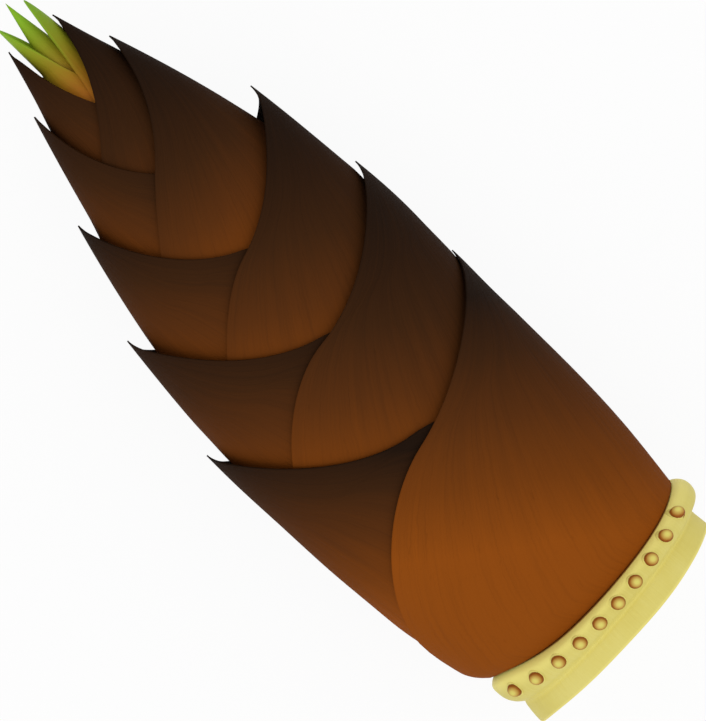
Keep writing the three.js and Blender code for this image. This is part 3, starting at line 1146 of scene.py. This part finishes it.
@dataclass
class YoungLeaf(Organ):
    """A green leaf: a strip wrapped part of the way around the shoot, ending in a point."""

    finish: LeafFinish
    name: str
    facing: float
    foot: float
    tip: float
    tip_radius: float
    widening: float
    shoulder: float
    belly: float
    spread: float
    spread_drop: float
    rounding: float
    wall: float = 0.9
    tip_wall: float = 0.3
    narrowest: float = 0.3
    crowding: float = 1.6
    axis_height: float = 0.055
    columns: int = 36
    rows: int = 60

    def height(self, row: float) -> float:
        """Returns the height of a row between -1 and 1, with more rows near the tip."""
        return lerp(self.foot, self.tip, 1.0 - (1.0 - (row + 1.0) / 2.0) ** self.crowding)

    def wall_at(self, co: Vector) -> float:
        """Returns the thickness of the wall at a spot of the flat strip."""
        share = clamp((self.tip - self.height(co.y)) / self.spread_drop)
        return lerp(self.tip_wall, self.wall, share)

    def wrap(self, co: Vector) -> Vector:
        """Wraps the flat strip.

        Args:
            co: Spot on it.

        Returns:
            Its resting place.
        """
        y = self.height(co.y)
        drop = max(self.tip - y, 0.0) / self.spread_drop
        half_angle = max(self.spread * drop ** self.rounding, self.narrowest)
        radius = (self.tip_radius + self.widening * (self.tip - y)
                  + self.belly * max(0.0, self.shoulder - y))
        return self.lay(self.facing + co.x * half_angle, y, radius)

    def build(self) -> None:
        """Models the leaf as a sheet that is rolled around the axis, and dresses it."""
        leaf = add_sheet(f"{self.name}_looks", self.columns, self.rows)
        write_chart(leaf, "veins", lambda co: (co.x, self.height(co.y) / CHART_UNIT))
        give_wall(leaf, self.wall, self.wall_at)
        roll_up(leaf, self.wrap, self.axis_height)
        smooth_off(leaf)
        self.dress(leaf, self.name, Slot.GREEN_LEAF, self.finish.make(self.rest))


@dataclass
class Spear(Organ):
    """The rolled leaf in the middle of the shoot."""

    name: str = "leaf_spear"
    tip: float = 293.8
    lean: float = 2.0
    tip_radius: float = 0.05
    cad_sides: int = 16
    sides: int = 40
    rings: int = 48
    sharp: float = 60.0
    stations: Rows = (
        (246.0, 6.2), (258.0, 6.2), (268.0, 5.0), (278.2, 3.1), (285.0, 1.8))

    def point(self, angle: float, y: float, radius: float) -> Vector:
        """Returns a point of the spear in the shoot's frame."""
        foot = self.stations[0][0]
        lean = self.lean * (y - foot) / (self.tip - foot)
        return self.form.ring_point(angle, y, radius, lean)

    def corners(self) -> list[Vector]:
        """Lists the corners of the spear's CAD node.

        Returns:
            The points in the shoot's frame.
        """
        foot = self.stations[0][0]
        turns = [-180.0 + 360.0 * side / self.cad_sides for side in range(self.cad_sides)]
        rings = [self.point(angle, y, radius) for y, radius in self.stations for angle in turns]
        ends = [Vector((self.form.axis_shift(foot), foot, 0.0)), self.point(0.0, self.tip, 0.0)]
        return rings + ends

    def build(self) -> None:
        """Models the spear as a straight column that ends in a point, bends it and dresses it."""
        profile = [*self.stations, (self.tip, self.tip_radius)]
        foot = profile[0][0]
        heights = [lerp(foot, self.tip, i / self.rings) for i in range(self.rings + 1)]
        rows = [(y, max(through(profile, y, 1), self.tip_radius)) for y in heights]
        spear = add_column(f"{self.name}_looks", self.sides, rows)
        write_chart(spear, "veins", lambda co: (
            math.sin(math.radians(angle_of(co))), (co.z + foot) / CHART_UNIT))
        move_all(spear, lambda co: self.rest.lay(
            self.point(angle_of(co), co.z + foot, reach_of(co))))
        with shaping(spear):
            bpy.ops.mesh.normals_make_consistent(inside=False)
        smooth_off(spear, self.sharp)
        # Its pigment is brightened by 1.22 as painted light against the shade of its recess.
        finish = LeafFinish(f"{self.name}_blade", 12.0, 1.22)
        self.dress(spear, self.name, Slot.GREEN_LEAF, finish.make(self.rest))


@dataclass
class RootBuds(Organ):
    """Two rows of root buds on the root ring, each draped over the stump under it."""

    stump: Stump
    per_row: int = 10
    arc: float = 57.5
    centre: float = -2.8
    skew: float = 2.2
    crowding: float = 0.14
    height: float = 14.6
    dip: float = 2.1
    radius: float = 2.45
    seat: float = 0.5
    seat_lift: float = 0.14
    gap: float = 0.12
    dome: float = 2.0
    dome_power: float = 2.2
    brow_power: float = 0.6
    lean_lift: float = 0.6
    depth: float = 1.2
    lean: float = 0.32

    def spot(self, index: int) -> tuple[float, float]:
        """Finds the spot of a bud, which is t of the way along its row.

        Args:
            index: Number of the bud, from 0.

        Returns:
            Its angle and its height.
        """
        t = 2.0 * (index % self.per_row) / (self.per_row - 1) - 1.0
        along = self.arc * ((1.0 - self.crowding) * t + self.crowding * t ** 3)
        facing = self.centre - self.skew * t * t + along
        angle = facing if index < self.per_row else 180.0 - facing
        return angle, self.height - self.dip * (1.0 - t * t)

    def lift(self, reach: float) -> float:
        """Follows the profile of a bud.

        Args:
            reach: Distance from its middle.

        Returns:
            How high it stands there.
        """
        share = reach / self.radius
        if share < 1.0:
            return self.gap + self.dome * (1.0 - share ** self.dome_power) ** self.brow_power
        on_seat = clamp((share - 1.0) / (self.seat / self.radius))
        return self.gap + self.seat_lift * math.sin(math.pi * on_seat)

    def build(self) -> None:
        """Models all the buds from one pattern and dresses them."""
        pattern, paint = self.pattern(), BudFinish().make()
        for index in range(2 * self.per_row):
            node = f"root_bud_{index + 1:02d}"
            bud = pattern.copy()
            bud.data = pattern.data.copy()
            bud.name = bud.data.name = f"{node}_looks"
            bpy.context.collection.objects.link(bud)
            self.settle(bud, index)
            self.dress(bud, node, Slot.ROOT_BUD, paint)
        bpy.data.objects.remove(pattern)

    def settle(self, bud: Piece, index: int) -> None:
        """Drapes a copy of the pattern bud over the stump.

        Args:
            bud: The copy.
            index: Number of the bud, from 0.
        """
        angle, y = self.spot(index)
        width, skin = self.stump.half_width(y), self.stump.skin
        lean = self.lean * (angle if index < self.per_row else angle - 180.0)
        faced = angle - lean
        across = (skin(faced + 1.0, y, 0.0) - skin(faced - 1.0, y, 0.0)).normalized()
        along = (skin(faced, y + 1.0, 0.0) - skin(faced, y - 1.0, 0.0)).normalized()
        out = across.cross(along).normalized()
        middle = skin(angle, y, self.lean_lift * self.radius * abs(math.sin(math.radians(lean))))

        def drape(co: Vector) -> Vector:
            """Lays the dome straight and the seat on the stump.

            Args:
                co: Point of the pattern.

            Returns:
                Its resting place.
            """
            dome = middle + across * co.x + along * co.y + out * co.z
            seat = skin(angle + math.degrees(co.x / width), y + co.y, co.z)
            share = smoothstep(reach_of(co), self.radius, self.radius + self.seat / 2.0)
            return self.rest.lay(dome.lerp(seat, share))

        move_all(bud, drape)
        smooth_off(bud)

    def pattern(self) -> Piece:
        """Models one bud around the origin from a ball that is pressed flat below.

        Returns:
            The round bud, which is deleted once it was copied.
        """
        outer = self.radius + self.seat
        bud = add_mesh("root_bud_pattern", bpy.ops.mesh.primitive_uv_sphere_add,
                       segments=28, ring_count=24, radius=1.0)

        def press(co: Vector) -> Vector:
            """Presses the ball flat below.

            Args:
                co: Point of the ball.

            Returns:
                Its place on the bud.
            """
            polar = math.acos(clamp(co.normalized().z, -1.0, 1.0)) / (math.pi / 2.0)
            reach = outer * (polar if polar <= 1.0 else 2.0 - polar)
            flat = reach_of(co) or 1.0
            lift = self.lift(reach) if polar <= 1.0 else -self.depth
            return Vector((co.x / flat * reach, co.y / flat * reach, lift))

        move_all(bud, press)
        write_chart(bud, "bud", lambda co: (reach_of(co) / outer, 0.0))
        return bud


# ---- studio ----


@dataclass
class Studio:
    """Pale floor, soft light and the camera that looks down on the shoot."""

    rest: Rest
    aim: tuple[float, float, float] = (0.8, 126.0, 0.0)
    tilt: float = 10.0
    roll: float = 45.35
    distance: float = 6.0
    view_height: float = 240.33
    sensor: float = 36.0
    floor_size: float = 6.0
    floor_drop: float = 0.0002
    floor_tone: float = 0.86
    floor_glow: float = 0.92
    sky: float = 0.82
    sun: float = 0.5
    sun_spread: float = 50.0

    def camera(self) -> None:
        """Sets up a long lens above the shoot, leaning a little towards its tip."""
        turn = (self.rest.turn @ Matrix.Rotation(-math.radians(self.tilt), 3, "X")
                @ Matrix.Rotation(math.radians(self.roll - 90.0), 3, "Z"))
        data = bpy.data.cameras.new("camera")
        data.sensor_width = self.sensor
        data.lens = self.sensor * self.distance / (self.view_height * MM)
        data.clip_start, data.clip_end = 0.1, 100.0
        camera = bpy.data.objects.new("camera", data)
        aim = self.rest.turn @ Vector(self.aim) * MM + self.rest.shift
        place = aim + turn @ Vector((0.0, 0.0, self.distance))
        camera.matrix_world = Matrix.Translation(place) @ turn.to_4x4()
        bpy.context.collection.objects.link(camera)
        bpy.context.scene.camera = camera

    def floor(self) -> None:
        """Lays the pale floor, which keeps the shoot's soft shadow."""
        floor = add_mesh("floor", bpy.ops.mesh.primitive_plane_add,
                         size=self.floor_size, location=(0.0, 0.0, -self.floor_drop))
        easel = Easel(bpy.data.materials.new("pale_floor"))
        seen = easel.backdrop() * self.floor_glow
        matt = easel.add("BsdfDiffuse", {}, {"Color": (*[self.floor_tone] * 3, 1.0)})
        glow = easel.add("Emission", {}, {"Color": WHITE, "Strength": 1.0})
        mixed = easel.add("MixShader", {}, {0: seen, 1: matt, 2: glow})
        easel.add("OutputMaterial", {}, {"Surface": mixed})
        floor.data.materials.append(easel.holder)

    def light(self) -> None:
        """Lights the shoot with an even sky and one soft lamp from the left."""
        world = bpy.data.worlds.new("soft_sky")
        bpy.context.scene.world = world
        easel = Easel(world)
        level = self.sky + easel.backdrop() * (1.0 - self.sky)
        sky = easel.add("Background", {}, {"Color": WHITE, "Strength": level})
        easel.add("OutputWorld", {}, {"Surface": sky})
        lamp = bpy.data.lights.new("soft_lamp", "SUN")
        lamp.energy = self.sun
        lamp.angle = math.radians(self.sun_spread)
        sun = bpy.data.objects.new("soft_lamp", lamp)
        sun.rotation_mode = "QUATERNION"
        sun.rotation_quaternion = Vector((-0.2, -0.1, 1.0)).to_track_quat("Z", "Y")
        bpy.context.collection.objects.link(sun)


# ---- assembly ----


def make_sheaths(form: ShootForm, rest: Rest) -> Iterator[Sheath]:
    """Lists the ten husks from the outermost inward.

    Args:
        form: The shoot's shape.
        rest: How it lies.

    Yields:
        Each husk, not yet built.
    """
    rows = [
        # side, tip, cross, shoulder, sweep, drop, under, stand_foot, stand_end,
        # and of the finish: dark_at, fade, bend, tilt
        (Side.RIGHT, 129.0, 98.0, -8.0, -19.0, 84.0, 13.0, 0.0, -1.8, 121.7, 85.4, 0.95, 8.0),
        (Side.LEFT, 137.9, 102.5, 4.0, -12.0, 84.0, 3.0, 0.0, 1.1, 69.8, 59.2, 0.9, 4.0),
        (Side.RIGHT, 173.4, 145.4, -2.0, -8.0, 76.0, -3.0, 1.1, 0.9, 166.5, 107.7, 1.8, 8.0),
        (Side.LEFT, 184.3, 147.0, -3.0, -20.0, 84.0, 2.0, 0.3, 2.8, 118.5, 66.6, 1.35, 4.0),
        (Side.RIGHT, 216.3, 183.3, -14.0, -20.0, 81.0, 4.0, 2.0, 4.6, 214.6, 105.4, 2.0, 18.0),
        (Side.LEFT, 223.6, 185.4, 8.0, -28.0, 84.0, -2.0, 0.2, 0.0, 142.4, 65.6, 1.0, 2.0),
        (Side.RIGHT, 261.7, 224.6, 12.0, -46.0, 84.0, 3.0, -0.3, -0.4, 264.1, 96.6, 2.0, 36.0),
        (Side.LEFT, 260.0, 219.8, 14.0, -40.0, 84.0, -3.0, -1.3, -0.5, 144.5, 63.4, 1.95, -12.0),
        (Side.RIGHT, 280.1, 251.4, 0.0, -46.0, 62.0, -2.0, 0.2, 1.2, 288.0, 106.0, 2.0, 40.0),
        (Side.LEFT, 281.5, 251.2, 0.0, -54.0, 84.0, 2.0, 0.0, 1.6, 200.0, 78.0, 1.2, 0.0),
    ]
    for index, row in enumerate(rows):
        stand_from = rows[index][2] if index < 2 else rows[index - 2][1]
        yield Sheath(form, rest, SheathFinish(*row[9:], 11.0 * index), index, *row[:9], stand_from)


def make_leaves(form: ShootForm, rest: Rest) -> Iterator[YoungLeaf]:
    """Lists the two green leaves beside the spear.

    Args:
        form: The shoot's shape.
        rest: How it lies.

    Yields:
        Each leaf, not yet built.
    """
    rows = [
        # name, facing, foot, tip, tip_radius, widening, shoulder, belly, spread, spread_drop,
        # rounding, and of the finish: seed, gain
        # gain brightens the left leaf's pigment as painted light against the shade on its side.
        ("leaf_left", -94.0, 238.0, 289.4, 6.3, -0.01, 268.0, 0.38, 65.5, 10.8, 0.552, 0.0, 1.18),
        ("leaf_right", 62.5, 240.0, 290.8, 8.1, 0.11, 262.0, 0.24, 29.5, 13.3, 0.68, 5.0, 1.0),
    ]
    for name, *row in rows:
        yield YoungLeaf(form, rest, LeafFinish(f"{name}_blade", *row[10:]), name, *row[:10])


def main() -> None:
    """Builds the shoot from the stump outward, dresses it and sets up the studio."""
    logging.basicConfig(level=logging.INFO, format="%(name)s %(message)s")
    form, rest = ShootForm(), Rest()
    spear = Spear(form, rest)
    rest.settle(spear.name, spear.corners())
    LOG.info("resting shift %s", tuple(round(v, 5) for v in rest.shift))

    stump = Stump(form, rest)
    organs = [stump, RootBuds(form, rest, stump), *make_sheaths(form, rest),
              *make_leaves(form, rest), spear]
    for organ in organs:
        organ.build()

    studio = Studio(rest)
    studio.floor()
    studio.light()
    studio.camera()
    bpy.context.scene.view_settings.view_transform = "Standard"


if __name__ == "__main__":
    main()
